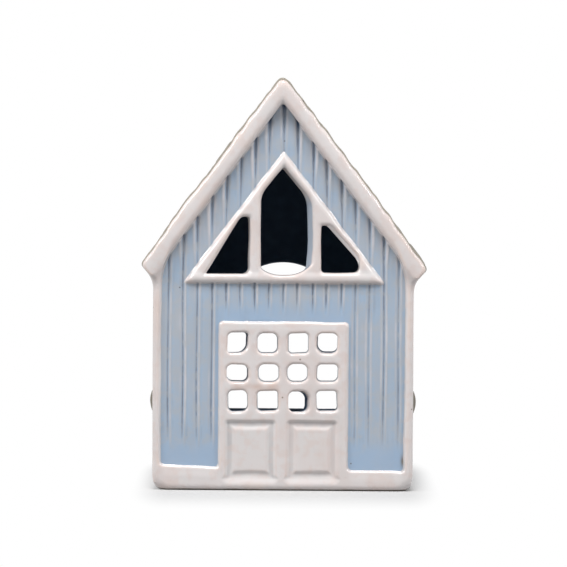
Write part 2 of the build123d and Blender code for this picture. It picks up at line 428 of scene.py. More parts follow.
def drawn_grooves(along, up, reach, seed, press, width, left_share, right_share):
    """Depth of the upright lines drawn in the clay, which press deepens and width spreads.

    They get shallow towards their feet. The clay pushed up by the tool lies beside a line, by a share
    for either side."""
    rng = np.random.default_rng(seed)
    count = int((reach - board_edge) / board_pitch)
    bite = smoothstep(groove_start - 2, groove_start + 14, up)
    depth = 0
    for place in range(-count, count + 1):
        shift, lean, weight, turn = rng.uniform(-1, 1, 4)
        line = place * board_pitch + 0.2 * shift + 0.2 * lean * (up - 80) / 80
        line = line + 0.12 * np.sin(up / 11 + 3 * turn)
        off = (along - line) / (groove_half * width)
        right_burr = bell((off - burr_place) / burr_spread)
        left_burr = bell((off + burr_place) / burr_spread)
        burr = burr_share * (right_share * right_burr + left_share * left_burr)
        depth = depth + (1 + 0.25 * weight) * press * (bite * np.exp(-(np.abs(off) ** 1.7)) - burr)
    return groove_depth * depth


def gable_strength(g, facing):
    """How plainly the lines show on a gable wall: 0 where the clay was left smooth."""
    ends = smoothstep(groove_start - 3, groove_start + 4, g.Z + 1.3 * ripple(21 + facing, 9, g.X))
    if facing < 0:
        over_door = smoothstep(door_top + 1, door_top + 10, g.Z + 1.2 * ripple(23, 12, g.X))
        beside_door = smoothstep(door_half + 0.4, door_half + 2, np.abs(g.X))
        ends = ends * np.maximum(over_door, beside_door)
    return ends


def gable_boards(g, facing):
    """Distance outside the boards of the front (-1) or the rear (1) wall."""
    gable = smoothstep(gable_start, gable_full, g.Z)
    near_verge = smoothstep(-11, -1.5, slope(g)[0])
    peak = smoothstep(apex - 18, apex - 6, g.Z)
    light_hand = 0.3 * smoothstep(0, 28, g.X) * (1 - gable)
    press = 1 - light_hand + gable * (1.4 * near_verge - 0.4) + 0.2 * peak
    width = 1 + 0.4 * gable * near_verge
    if facing < 0:
        under_sill = smoothstep(window_foot - 4, window_foot, g.Z) * (g.Z < window_foot + 1)
        press = press + 0.3 * under_sill * (np.abs(g.X) < window_half)
    strength = gable_strength(g, facing)
    left = gable * smoothstep(0.5, -0.5, g.X)
    both = 0.7 * smoothstep(0, 28, g.X) * (1 - gable)
    burr_fade = 1 - 0.35 * gable - 0.5 * peak
    lines = drawn_grooves(g.X, g.Z, wall_half, 31 + facing, press, width,
                          burr_fade * (left + both), burr_fade * (1 - left))
    crown = board_crown * (1 + np.cos(2 * np.pi * g.X / board_pitch)) / 2
    relief = 0.14 * ripple(33 + facing, 30, g.X, g.Z) - strength * (lines + crown) - peak_hollow * peak
    return facing * g.Y - board_face - relief


def side_strength(g):
    """How plainly the lines show on a side wall."""
    ends = smoothstep(groove_start - 3, groove_start + 4, g.Z + 1.3 * ripple(25, 9, g.Y))
    middle = (lug_low + lug_high) / 2
    from_lug = np.sqrt((g.Y - middle[1]) ** 2 + (g.Z - middle[2]) ** 2)
    return ends * smoothstep(lug_high[1] + 0.5, lug_high[1] + 3, from_lug)


def side_boards(g):
    """Distance outside the boards of both side walls."""
    lines = drawn_grooves(g.Y, g.Z, wall_inside, 37, 1 + 0.5 * smoothstep(76, 83, g.Z), 1, 0, 1)
    crown = board_crown * (1 + np.cos(2 * np.pi * g.Y / board_pitch)) / 2
    relief = 0.14 * ripple(38, 30, g.Y, g.Z) - side_strength(g) * (lines + crown)
    return np.abs(g.X) - side_face - relief


def plan(g):
    """Distance outside the house's outline, seen from above."""
    return rounded(np.abs(g.X) - half_width, np.abs(g.Y) - half_depth, plan_corner)


# Door

def door_outline(g):
    """Distance outside the door's outline, in the plane of the wall."""
    side = np.abs(g.X - door_shift) - door_half + 0.15 * ripple(61, 26, g.X, g.Z)
    return smax(side, g.Z - door_top + 0.15 * ripple(62, 22, g.X), door_corner)


# How far a pane's inner edge lies off its outer one, across and up, by row and column
pane_shifts = {
    (0, 0): (-1.0, -0.2),
    (0, 1): (-0.3, 0.0),
    (0, 3): (0.3, 0.5),
    (1, 0): (-0.5, 0.3),
    (2, 2): (-2.1, -0.35),
    (2, 3): (-0.2, 0.1),
}
# Panes that lie off their places in the row, by so much to the right
pane_moves = {(0, 2): 0.35, (0, 3): -0.5, (2, 2): 0.8}
# Panes with one corner left uncut: to which side and end it lies, and how far from the middle
uncut_corners = {(0, 0): (1, -1, 3.9), (0, 3): (-1, -1, 4.1)}


def panes(g):
    """The door's glass-less panes, cut by hand: negative in a hole."""
    rng = np.random.default_rng(63)
    inward = np.clip((door_face + g.Y) / (door_face - wall_inside), 0, 1)
    pane_width = (2 * door_half - 2 * stile_width - (pane_columns - 1) * muntin_width) / pane_columns
    holes = 9.0
    row_top = door_top - top_rail
    for row, pane_height in enumerate(pane_heights):
        for column in range(pane_columns):
            middle = (column - (pane_columns - 1) / 2) * (pane_width + muntin_width)
            jitter = 0.3 * rng.uniform(-1, 1, 4)
            shift = pane_shifts.get((row, column), (0.0, 0.0))
            skew = 0.05 * rng.uniform(-1, 1, 2)
            x = g.X - middle - pane_moves.get((row, column), 0.0) - jitter[0] - shift[0] * inward
            z = g.Z - (row_top - pane_height / 2) - 0.6 * jitter[1] - shift[1] * inward
            x, z = x + skew[0] * z, z + skew[1] * x
            radius = pane_radii[row] + 2 * jitter[3] + 0.5 * ripple(67 + 4 * row + column, 9, x, z)
            past_x = np.abs(x) - (pane_width + jitter[2]) / 2
            past_z = np.abs(z) - (pane_height - jitter[2]) / 2
            hole = rounded(past_x, past_z, radius)
            if (row, column) in uncut_corners:
                side, end, corner_reach = uncut_corners[row, column]
                hole = smax(hole, (side * x + end * z) / math.sqrt(2) - corner_reach, 1.0)
            holes = np.minimum(holes, hole - 0.3 + 0.35 * inward)
        if row < len(pane_pitches):
            row_top -= pane_pitches[row]
    return holes


def panel_relief(g):
    """How far the door's face lies back at its two panels."""
    half = (door_half - panel_outer - panel_inner) / 2
    middle = panel_inner + half
    tall = (panel_top - panel_foot) / 2
    past_x = np.abs(np.abs(g.X - panel_shift) - middle) - half + 0.2 * ripple(64, 18, g.X, g.Z)
    past_z = np.abs(g.Z - (panel_top + panel_foot) / 2) - tall + 0.2 * ripple(65, 15, g.X)
    edge = rounded(past_x, past_z, panel_corner)
    sill = panel_sill * smoothstep(panel_foot + 2, panel_foot, g.Z)
    recess = panel_depth * (1 - smoothstep(panel_lip - panel_slope, panel_lip + sill, edge))
    field = field_rise * (1 - smoothstep(-field_margin - field_bevel, -field_margin, edge))
    return recess - field


# White posts, plinth and door, which lie flush and run into one another

def uprights(g):
    """Distance outside the posts and the door, along the walls."""
    inner = wall_half - np.abs(g.X) + 0.25 * ripple(44, 24, g.X, g.Z)
    rear = wall_inside - np.abs(g.Y) + 0.25 * ripple(46, 24, g.Y, g.Z)
    return np.minimum(smax(inner, rear, trim_round), np.maximum(door_outline(g), g.Y))


def plinth_edge(g):
    """Distance above the plinth's uneven upper edge."""
    climb = plinth_climb * np.maximum(-g.X - door_half, 0) * smoothstep(half_depth, -wall_inside, g.Y)
    fall = plinth_fall * g.X - climb
    return g.Z - plinth_top + plinth_sunk + fall + 0.25 * ripple(52, 20, g.X, g.Y)


def strips(g):
    """Distance outside the outline of the white strips, along the walls."""
    outline = smin(uprights(g), plinth_edge(g), strip_fillet)
    return np.maximum(outline, slope(g)[0] - 1)


def trim(g):
    """The white strips with the door's panels, before the panes are cut."""
    side = np.abs(g.X) - half_width + 0.2 + 0.1 * ripple(41, 40, g.Y, g.Z)
    side = side - post_flare * np.maximum(60 - g.Z, 0) * (g.X > 0)
    front = np.abs(g.Y) - half_depth + 0.12 + 0.1 * ripple(42, 30, g.X, g.Z)
    front = front + np.where(g.Y < 0, panel_relief(g), 0)
    thinned = plinth_thinning * smoothstep(-4, 0.3, plinth_edge(g)) * smoothstep(0, 3, uprights(g))
    head = smoothstep(-3, 0, g.Z - door_top) * (door_outline(g) < 1) * (g.Y < 0)
    thinned = thinned + door_thinning * head
    side = side + thinned
    front = front + thinned
    sideways = smoothstep(-7, -1, side)
    under = -g.Z * (1 + (side_foot_rise - 1) * sideways)
    foot = front_foot + (side_foot - front_foot) * sideways
    full_round = smoothstep(plinth_top, plinth_top + 5, g.Z) * (1 - head)
    edge = plinth_round + (trim_round - plinth_round) * full_round
    return smax(smax(smax(side, front, corner_round), under, foot), strips(g), edge)


def body(g, facing):
    """The house's blue body near one gable, under its roof and over its foot, open behind the door."""
    house = common(gable_boards(g, facing), side_boards(g), slope(g)[0] - 1, 3 - g.Z)
    if facing < 0:
        house = np.maximum(house, -1 - door_outline(g))
    return house


def white_surface(g, facing):
    """The white strips and verge of one gable, with their fillets."""
    joined = np.maximum(smin(trim(g), verge(g, facing), post_fillet), verge_front(g, facing))
    return smin(joined, body(g, facing), melt) - lap


# Gable window

def falling(g, point, pitch, side):
    """Distance above a line through a point, which falls to the left (-1) or the right (1)."""
    x, z = point
    angle = math.radians(pitch)
    return (g.Z - z) * math.cos(angle) + side * (g.X - x) * math.sin(angle)


def rake_line(g):
    """Distance above the slopes along the rakes' inner edges."""
    return np.sqrt(g.X**2 + 0.5**2) * slope_sin + (g.Z - light_apex) * slope_cos


def lights(g):
    """The three lights of the gable window: negative in a hole.

    They were cut with the knife held aslant, so the right-hand wall of each cut shows from the front."""
    inward = np.clip((frame_face + g.Y) / (frame_face - wall_inside), 0, 1)
    shown = 1 - inward
    uneven = 0.15 * ripple(71, 12, g.X, g.Z)
    curve = middle_curve * ((g.Z - curve_height) / curve_reach) ** 2
    right_side = g.X - middle_edges[1] + curve - middle_reveals[0] * shown + uneven
    foot = middle_foot + middle_bow * np.abs(g.X / bow_half) ** 2.6 - g.Z
    left_slope = falling(g, middle_point, middle_pitches[0], -1) + 0.1 * ripple(72, 9, g.X)
    right_slope = falling(g, middle_point, middle_pitches[1], 1) - middle_reveals[1] * shown
    middle = smax(middle_edges[0] - g.X + uneven, right_side, 1)
    middle = smax(middle, smax(left_slope, right_slope, 1.0), 2.0)
    middle = smax(middle, foot, 1.0)
    left = smax(falling(g, left_corner, left_pitch, -1) + uneven, left_foot + uneven - g.Z, 0.8)
    left = smax(left, g.X - left_edge - left_reveal * shown + uneven, 2.8)
    left = smax(left, g.Z - left_top, 1.8)
    right_slope = falling(g, right_shoulder, right_pitch, 1) - right_reveals[0] * shown
    far_end = g.X - right_edges[1] - right_reveals[1] * shown
    right = smax(right_edges[0] + uneven - g.X, right_slope, 1.8)
    right = smax(right, smax(far_end, right_foot + uneven - g.Z, 2.4), 1.6)
    right = smax(right, g.Z - right_top, 1.2)
    return np.minimum(np.minimum(left, right), middle)


def window_edge(g):
    """Distance outside the window frame's outline, in the plane of the wall."""
    left, right = [falling(g, frame_apex, pitch, side) for pitch, side in zip(frame_pitches, (-1, 1))]
    rim = smax(left, right, 0.8) + 0.2 * ripple(76, 13, g.X, g.Z)
    return smax(rim, window_foot - 0.1 - g.Z + 0.15 * ripple(77, 18, g.X), 1.2)


def window_surface(g):
    """The window's frame with the boards round it, and its lights."""
    swell = (sill_face - frame_face) * (1 - smoothstep(light_foot - 1, light_foot + 1.5, g.Z))
    face = -g.Y - frame_face - swell + 0.15 + 0.15 * ripple(75, 14, g.X, g.Z)
    plate = smax(window_edge(g), face, frame_round)
    return smax(smin(plate, gable_boards(g, -1), melt) - lap, -lights(g), light_round)


# Limits that cut each piece out of its surface

def lining(outward, edge):
    """Keeps a frame near the wall's face, and right through the wall beside an opening."""
    return np.maximum(np.minimum(board_face - sunk - outward, edge), wall_inside + 0.15 - outward)


def wall_limits(g, opening):
    """A gable wall's sides, foot and slopes, and its opening."""
    return common(np.abs(g.X) - wall_half - 0.6, floor_top - 0.5 - g.Z, slope(g)[0] - 0.8, opening)


def front_wall_shape(g):
    inside = wall_inside - 0.12 * ripple(81, 25, g.X, g.Z) + g.Y
    doorway = np.maximum(np.abs(g.X) - door_half + 0.5, g.Z - door_top + 0.5)
    return common(gable_boards(g, -1), inside, 0.6 - lights(g)), wall_limits(g, -doorway)


def rear_arch(g):
    """Distance outside the rear arch, in the plane of the wall."""
    crown = np.sqrt(g.X**2 + np.maximum(g.Z - arch_spring, 0) ** 2) - arch_half
    return smax(crown + 0.25 * ripple(82, 40, g.X, g.Z), arch_foot - g.Z + 0.2 * ripple(83, 30, g.X), 2.5)


def rear_wall_shape(g):
    wall = np.maximum(gable_boards(g, 1), wall_inside - 0.12 * ripple(84, 25, g.X, g.Z) - g.Y)
    return smax(wall, -rear_arch(g), 2.2), wall_limits(g, -g.Z)


def side_wall_shape(g):
    across = np.abs(g.X)
    wall = np.maximum(side_boards(g), side_inside - across + 0.12 * ripple(85, 25, g.Y, g.Z))
    return wall, common(np.abs(g.Y) - wall_inside - 0.6, floor_top - 0.5 - g.Z, slope(g)[0] - 0.8)


def roof_shape(side):
    def shape(g):
        over, down = slope(g)
        top = roof_top(g, over)
        from_verge = smoothstep(board_face, board_face - 4, np.abs(g.Y))
        for course in range(1, course_count + 1):
            way = down - slope_length + course * course_pitch + 0.2 * ripple(92 + course, 25, g.Y)
            top = top + course_depth * from_verge * np.exp(-np.abs(way / course_half) ** 1.7)
        eave = down - slope_length + 0.1 + 0.1 * ripple(101, 30, g.Y)
        under = -over + 0.1 * ripple(102, 20, g.X, g.Y)
        slab = smax(smax(top, eave, 2.4), under, 2.0)
        slab = smax(slab, np.abs(g.Y) - board_face, 0.5)
        return slab, -side * g.X - 1.2
    return shape


def verge_shape(side, facing):
    def shape(g):
        inner = slope(g)[0]
        limits = common(-side * g.X - 1.2, -inner - verge_drop - skirt, board_face - sunk - facing * g.Y)
        return white_surface(g, facing), limits
    return shape


def post_shape(side, facing):
    def shape(g):
        over, down = slope(g)
        limits = common(
            wall_half - post_fillet - side * g.X,
            wall_inside - 4 - facing * g.Y,
            smin(strips(g), -over - verge_drop, post_fillet) - skirt,
            np.minimum(over - 1.2, verge_length - 0.5 - down),
            plinth_top - 3 - g.Z,
        )
        return white_surface(g, facing), limits
    return shape


def plinth_shape(g):
    house = np.maximum(body(g, -1), gable_boards(g, 1))
    surface = np.maximum(smin(trim(g), house, melt) - lap, -g.Z)
    doorway = common(np.abs(g.X) - door_half + 0.4, floor_top + 1.4 - g.Z, g.Y)
    return surface, common(-plan(g) - 3.8, g.Z - plinth_top - 1, strips(g) - skirt, -doorway)


def door_shape(g):
    surface = smax(smin(trim(g), body(g, -1), melt) - lap, -panes(g), pane_rim)
    through = lining(-g.Y, door_outline(g) + 0.2)
    return surface, common(strips(g) - skirt, np.abs(g.X) - door_half - 2, through, floor_top - 1.4 - g.Z)


def sill_shape(g):
    through = lining(-g.Y, lights(g) - 1.3)
    return window_surface(g), common(window_edge(g) - skirt, g.Z - light_foot - 2.1, through)


def rake_shape(side):
    def shape(g):
        through = lining(-g.Y, lights(g) - 1.3)
        limits = common(-side * g.X - 1.2, window_edge(g) - skirt, -5 - rake_line(g), through)
        return window_surface(g), np.maximum(limits, light_foot + 0.1 - g.Z)
    return shape


def mullion_shape(side):
    def shape(g):
        across = np.abs(side * g.X - mullion_place) - mullion_reach
        limits = common(across, light_foot + 0.1 - g.Z, rake_line(g) - 1.5, wall_inside + 0.15 + g.Y)
        return window_surface(g), limits
    return shape


def lug_shape(g):
    radius = lug_high[1]
    rise = lug_high[0] - lug_low[0]
    ball = (radius**2 + rise**2) / (2 * rise)
    middle = (lug_low + lug_high) / 2
    across = np.abs(g.X) - lug_high[0] + ball
    up = (g.Z - middle[2] - lug_lift) / lug_stretch
    distance = np.sqrt(across**2 + (g.Y - middle[1]) ** 2 + up**2)
    cap = distance - ball + 0.2 - lug_swell * np.sign(g.X)
    knob = cap + 0.15 * ripple(111, 6, g.X, g.Y, g.Z)
    return smin(knob, side_boards(g), 1.0) - 0.03, np.maximum(cap - 0.4, side_face - 0.8 - np.abs(g.X))


def floor_shape(g):
    foot = 0.4 * (1 - smoothstep(-9, -6, plan(g)))
    slab = np.maximum(g.Z - floor_top - 0.1 * ripple(121, 18, g.X, g.Y), foot + 0.02 - g.Z)
    return slab, plan(g) + 3.4


# Materials

def linear(red, green, blue):
    """A screen colour from 0 to 255, as the shader takes it."""
    parts = [value / 255 for value in (red, green, blue)]
    return [p / 12.92 if p <= 0.04045 else ((p + 0.055) / 1.055) ** 2.4 for p in parts] + [1.0]


class Nodes:
    """Short ways to lay out one material's nodes."""

    def __init__(self, name):
        self.material = bpy.data.materials.new(name)
        self.material.use_nodes = True
        self.tree = self.material.node_tree
        self.tree.nodes.clear()
        self.place = self.add("TexCoord").outputs["Object"]

    def add(self, kind, settings=None, **inputs):
        node = self.tree.nodes.new("ShaderNode" + kind)
        for name, value in (settings or {}).items():
            setattr(node, name, value)
        for name, value in inputs.items():
            self.set(node.inputs[name.replace("_", " ")], value)
        return node

    def set(self, socket, value):
        if isinstance(value, bpy.types.NodeSocket):
            self.tree.links.new(value, socket)
        else:
            socket.default_value = value

    def math(self, operation, *values):
        node = self.add("Math", {"operation": operation})
        for socket, value in zip(node.inputs, values):
            self.set(socket, value)
        return node.outputs[0]

    def note(self, name):
        return self.add("Attribute", {"attribute_name": name}).outputs["Fac"]

    def noise(self, scale, detail=3.0, stretch=(1, 1, 1)):
        place = self.add("Mapping", Vector=self.place, Scale=stretch).outputs[0]
        return self.add("TexNoise", Vector=place, Scale=scale, Detail=detail).outputs["Fac"]

    def between(self, value, low, high, to_low=0.0, to_high=1.0):
        node = self.add("MapRange", {"interpolation_type": "SMOOTHSTEP"}, Value=value)
        for name, number in zip(("From Min", "From Max", "To Min", "To Max"), (low, high, to_low, to_high)):
            node.inputs[name].default_value = number
        return node.outputs["Result"]

    def mix(self, share, first, second):
        node = self.add("Mix", {"data_type": "RGBA"})
        for index, value in ((0, share), (6, first), (7, second)):
            self.set(node.inputs[index], value)
        return node.outputs[2]

    def over(self, colour, other, value, low, high, share=1.0):
        """Another colour over one, by a share that grows as a value goes from low to high."""
        return self.mix(self.between(value, low, high, 0.0, share), colour, other)

    def ramp(self, share, stops):
        node = self.add("ValToRGB", Fac=share)
        while len(node.color_ramp.elements) < len(stops):
            node.color_ramp.elements.new(0.5)
        for element, (position, colour) in zip(node.color_ramp.elements, stops):
            element.position = position
            element.color = colour
        return node.outputs["Color"]

    def specks(self, scale, size, share):
        """Sparse dark specks: 1 in a speck."""
        cells = self.add("TexVoronoi", Vector=self.place, Scale=scale)
        red = self.add("SeparateColor", Color=cells.outputs["Color"]).outputs[0]
        chosen = self.math("GREATER_THAN", red, 1 - share)
        return self.math("MULTIPLY", chosen, self.between(cells.outputs["Distance"], size, size * 0.5))

    def bump(self, *layers):
        """Stacked bumps, each a height from 0 to 1 and its depth in millimetres."""
        normal = None
        for height, depth in layers:
            node = self.add("Bump", Height=height, Distance=depth * MILLIMETRE, Strength=1.0)
            if normal:
                self.set(node.inputs["Normal"], normal)
            normal = node.outputs["Normal"]
        return normal

    def finish(self, **inputs):
        shader = self.add("BsdfPrincipled", **inputs)
        self.add("OutputMaterial", Surface=shader.outputs[0])
        return self.material


inside_pale = linear(72, 96, 122)
inside_dark = linear(48, 65, 88)
foot_clay = linear(116, 106, 92)
thin_glaze = linear(196, 164, 147)
# painted shade for the hollows of bare clay
painted_hollow_shade = linear(74, 69, 62)
iron_speck = linear(62, 52, 43)


def glaze(name, stops, tint, patch, speck):
    """A glossy glaze: thin on edges, pooled in hollows, where its darker colour is partly painted shade,
    bare where the inside is unglazed.
    """
    n = Nodes(name)
    broad = n.noise(30, 2)
    cloud = n.noise(110, 2)
    fine = n.noise(420, 3)
    streak = n.noise(150, 2, (1, 1, 0.14))
    # Glaze depth from the edge note: low on edges, high in hollows. The ramps' dark end in hollows is
    # pooled glaze and painted shade together.
    depth = n.math("MULTIPLY_ADD", n.note("edge"), -0.5, 0.5)
    for noise, share in ((broad, 0.5), (cloud, 0.34), (streak, 0.44)):
        depth = n.math("ADD", depth, n.math("MULTIPLY_ADD", noise, share, -share / 2))
    colour = n.ramp(depth, stops)
    colour = n.over(colour, patch, n.noise(60, 2, (1, 1, 0.35)), 0.5, 0.7, 0.45)
    colour = n.over(colour, patch, n.noise(230, 3), 0.46, 0.66, 0.5)
    colour = n.mix(n.note("tint"), colour, tint)
    colour = n.mix(n.specks(300, 0.13, 0.02), colour, speck)
    bare = n.note("bare")
    inside = n.mix(n.noise(240, 5), inside_dark, inside_pale)
    colour = n.mix(bare, colour, inside)
    colour = n.mix(n.note("worn"), colour, thin_glaze)
    colour = n.mix(n.note("wiped"), colour, foot_clay)
    roughness = n.math("ADD", n.between(fine, 0.35, 0.7, 0.1, 0.17), n.math("MULTIPLY", bare, 0.6))
    normal = n.bump((n.noise(55, 2), 0.3), (n.noise(190, 2), 0.07), (fine, 0.012),
                    (n.specks(240, 0.16, 0.02), -0.08))
    return n.finish(Base_Color=colour, Roughness=roughness, Normal=normal, IOR=1.52)


def stoneware(name, pale, dark, wash):
    """Bare fired clay with iron specks, a thin worn wash, and painted shade darkening its hollows."""
    n = Nodes(name)
    broad = n.noise(30, 3)
    fine = n.noise(520, 5)
    colour = n.over(dark, pale, broad, 0.25, 0.75)
    worn = n.math("ADD", n.note("edge"), n.math("MULTIPLY_ADD", fine, 0.8, -0.4))
    colour = n.over(colour, wash, worn, 0.1, 0.7, 0.45)
    # painted shade: darker in the hollows, such as the lines between the roof's courses
    colour = n.over(colour, painted_hollow_shade, n.note("edge"), -0.1, -0.7, 0.6)
    colour = n.mix(n.specks(420, 0.2, 0.14), colour, iron_speck)
    colour = n.mix(n.note("bare"), colour, inside_pale)
    normal = n.bump((n.noise(260, 4), 0.1), (fine, 0.05))
    return n.finish(Base_Color=colour, Roughness=n.between(fine, 0.3, 0.7, 0.5, 0.75), Normal=normal)


def sheet_metal(name, colour, rough, lines):
    """Thin drawn metal with fine lines of the given stretch, and handling marks."""
    n = Nodes(name)
    drawn = n.noise(900, 3, lines)
    marks = n.noise(140, 4)
    marked, lined = [[share * part for part in colour[:3]] + [1.0] for share in (0.8, 0.65)]
    shade = n.over(colour, marked, marks, 0.35, 0.7, 0.5)
    shade = n.over(shade, lined, drawn, 0.4, 0.65, 0.25)
    roughness = n.between(n.math("ADD", drawn, marks), 0.7, 1.3, rough, rough + 0.16)
    normal = n.bump((drawn, 0.02), (n.noise(320, 2), 0.05))
    return n.finish(Base_Color=shade, Roughness=roughness, Normal=normal, Metallic=1.0)


def paraffin(name):
    """White wax: a little cloudy, with a faint bloom on its skin."""
    n = Nodes(name)
    cloud = n.noise(130, 4)
    bloom = n.noise(640, 5)
    colour = n.over(linear(226, 221, 208), linear(238, 235, 226), cloud, 0.3, 0.7)
    colour = n.over(colour, linear(244, 243, 239), bloom, 0.55, 0.75, 0.4)
    normal = n.bump((cloud, 0.12), (bloom, 0.03))
    return n.finish(Base_Color=colour, Roughness=n.between(bloom, 0.3, 0.7, 0.32, 0.5), Normal=normal,
                    Subsurface_Weight=0.25, Subsurface_Scale=0.002)


def cotton(name):
    """Waxed cotton yarn."""
    n = Nodes(name)
    fibre = n.noise(2600, 4, (1, 1, 0.3))
    soaked = n.noise(300, 3)
    colour = n.over(linear(196, 188, 170), linear(236, 231, 219), fibre, 0.3, 0.7)
    colour = n.over(colour, linear(214, 205, 184), soaked, 0.45, 0.7, 0.4)
    return n.finish(Base_Color=colour, Roughness=n.between(fibre, 0.3, 0.7, 0.55, 0.85),
                    Normal=n.bump((fibre, 0.06)))


white_glaze = glaze(
    "white_glaze",
    [
        (0.06, linear(226, 209, 201)),
        (0.36, linear(220, 213, 212)),
        (0.62, linear(217, 213, 212)),
        # painted shade: grey in the deepest hollows, over the thicker glaze there
        (0.95, linear(186, 183, 185)),
    ],
    tint=linear(164, 178, 194),
    patch=linear(216, 200, 195),
    speck=linear(142, 128, 118),
)
blue_glaze = glaze(
    "blue_glaze",
    [
        (0.14, linear(200, 198, 203)),
        (0.4, linear(168, 178, 191)),
        (0.58, linear(160, 179, 200)),
        # painted shade: these two darkest stops, in the drawn lines and other hollows, darken the pooled
        # glaze further
        (0.8, linear(146, 157, 174)),
        (1.0, linear(126, 136, 152)),
    ],
    tint=linear(153, 178, 206),
    patch=linear(176, 179, 184),
    speck=linear(120, 122, 132),
)
roof_clay = stoneware("bare_stoneware", linear(136, 129, 117), linear(112, 106, 95), linear(162, 155, 143))
aluminium = sheet_metal("aluminium", linear(208, 208, 210), 0.24, (1, 1, 0.08))
tin = sheet_metal("tin", linear(186, 186, 188), 0.3, (0.1, 1, 1))
wax = paraffin("wax")
wick_cotton = cotton("wick_cotton")


# Where the clay is left bare or the other glaze shows

def inside_front(p):
    """The inside of the front wall, with a ragged edge where the glaze stops."""
    return smoothstep(-board_face + 0.9, -board_face + 2.2, p.Y + 0.5 * ripple(131, 6, p.X, p.Z))


def inside_rear(p):
    return smoothstep(board_face - 0.9, board_face - 2.4, p.Y + 0.5 * ripple(132, 6, p.X, p.Z))


def inside_sides(p):
    return smoothstep(side_face - 1, side_face - 2.4, np.abs(p.X))


def inside_roof(p):
    """The underside of the roof between the walls."""
    under = smoothstep(1.6, 0.6, slope(p)[0])
    return under * (np.abs(p.X) < half_width) * (np.abs(p.Y) < half_depth)


def inside_window(p):
    """The very inside of the window's reveals."""
    return smoothstep(-wall_inside - 1, -wall_inside - 0.2, p.Y)


def inside_plinth(p):
    return smoothstep(-1.2, -2.4, plan(p)) * (p.Z > 2)


def wiped_foot(p):
    """The foot, which was wiped clean before firing."""
    return smoothstep(0.8, 0.3, p.Z + 0.15 * ripple(134, 8, p.X, p.Y))


def missed_glaze(p):
    """A bare spot low in the corner of the front wall."""
    return bell((p.X - wall_half + 0.9) / 0.7) * bell((p.Z - plinth_top - 2.2) / 2.2)


def worn_muntin(p):
    """Thin glaze on the muntin under the middle row of panes, to the left."""
    middle = door_top - top_rail - pane_pitches[0] - (pane_heights[1] + pane_pitches[1]) / 2
    along = smoothstep(-21, -17, p.X) * smoothstep(1, -4, p.X)
    return 0.6 * along * bell((p.Z - middle) / 1.3) * (0.7 + 0.3 * ripple(135, 5, p.X, p.Z))


def over_floor(p):
    """The upper side of the floor slab."""
    return 1.0 * (p.Z > 2)


def blue_flanks(p):
    """Blue glaze that ran down the flank of the right-hand mullion."""
    deep = smoothstep(-frame_face + 0.9, -frame_face + 1.8, p.Y + 0.3 * ripple(133, 7, p.X, p.Z))
    return 0.85 * deep * smoothstep(blue_top + 3, blue_top - 3, p.Z) * (p.X > 0) * (p.X < blue_side)


def plain(strength, *facing):
    """Where the clay was left smooth, the glaze lies thicker and bluer."""
    return lambda p: 0.7 * (1 - strength(p, *facing))


sides = {"left": -1, "right": 1}
facings = {"front": -1, "rear": 1}
fine_upright = (0.28, 0.4, 0.9)
fine_along = (0.4, 0.28, 0.9)
fine = (0.3, 0.3, 0.3)
white = ("white_glaze", white_glaze)
blue = ("blue_glaze", blue_glaze)
clay = ("bare_stoneware", roof_clay)

sculpt("floor_slab", floor_shape, (0.9, 0.9, 0.35), "white_glaze", roof_clay, bare=over_floor)
sculpt("plinth_band", plinth_shape, (0.42, 0.42, 0.36), *white, bare=inside_plinth, wiped=wiped_foot)
sculpt("front_wall", front_wall_shape, fine_upright, *blue, bare=inside_front,
       tint=plain(gable_strength, -1), wiped=missed_glaze)
sculpt("rear_wall", rear_wall_shape, fine_upright, *blue, bare=inside_rear, tint=plain(gable_strength, 1))
sculpt("double_door", door_shape, (0.33, 0.33, 0.33), *white, grow=2.6, rank=1, bare=inside_front,
       worn=worn_muntin)
sculpt("gable_window_sill", sill_shape, fine, *white, grow=(1.2, 5.6, 2.4), rank=3,
       bare=inside_window)
for hand, side in sides.items():
    window = f"gable_window_{hand}"
    sculpt(f"{hand}_wall", side_wall_shape, fine_along, *blue, bare=inside_sides,
           tint=plain(side_strength))
    sculpt(f"{hand}_roof_slab", roof_shape(side), (0.45, 1.0, 0.45), *clay, rank=side > 0,
           bare=inside_roof)
    sculpt(f"{hand}_side_lug", lug_shape, (0.25, 0.25, 0.25), *clay, grow=(1.6, 1.6, 5.0))
    sculpt(f"{window}_rake", rake_shape(side), fine, *white, grow=(2.4, 5.6, 1.2), rank=side > 0,
           bare=inside_window, tint=blue_flanks)
    sculpt(f"{window}_mullion", mullion_shape(side), fine, *white, grow=(3.2, 1.2, 2.5), rank=2,
           bare=inside_window, tint=blue_flanks)
    for end, facing in facings.items():
        sculpt(f"{end}_{hand}_bargeboard", verge_shape(side, facing), (0.35, 0.35, 0.35), *white,
               rank=side > 0)
        sculpt(f"{end}_{hand}_corner_post", post_shape(side, facing), (0.33, 0.33, 0.4), *white,
               grow=(4.8, 3.2, 3.0), rank=2)


# Tealight: pieces turned about one upright axis

def arc(centre_r, centre_z, radius, start, end, count=7):
    """Points of a round stretch of a profile, from one angle to another in degrees."""
    angles = np.radians(np.linspace(start, end, count))
    return [(centre_r + radius * math.cos(a), centre_z + radius * math.sin(a)) for a in angles]


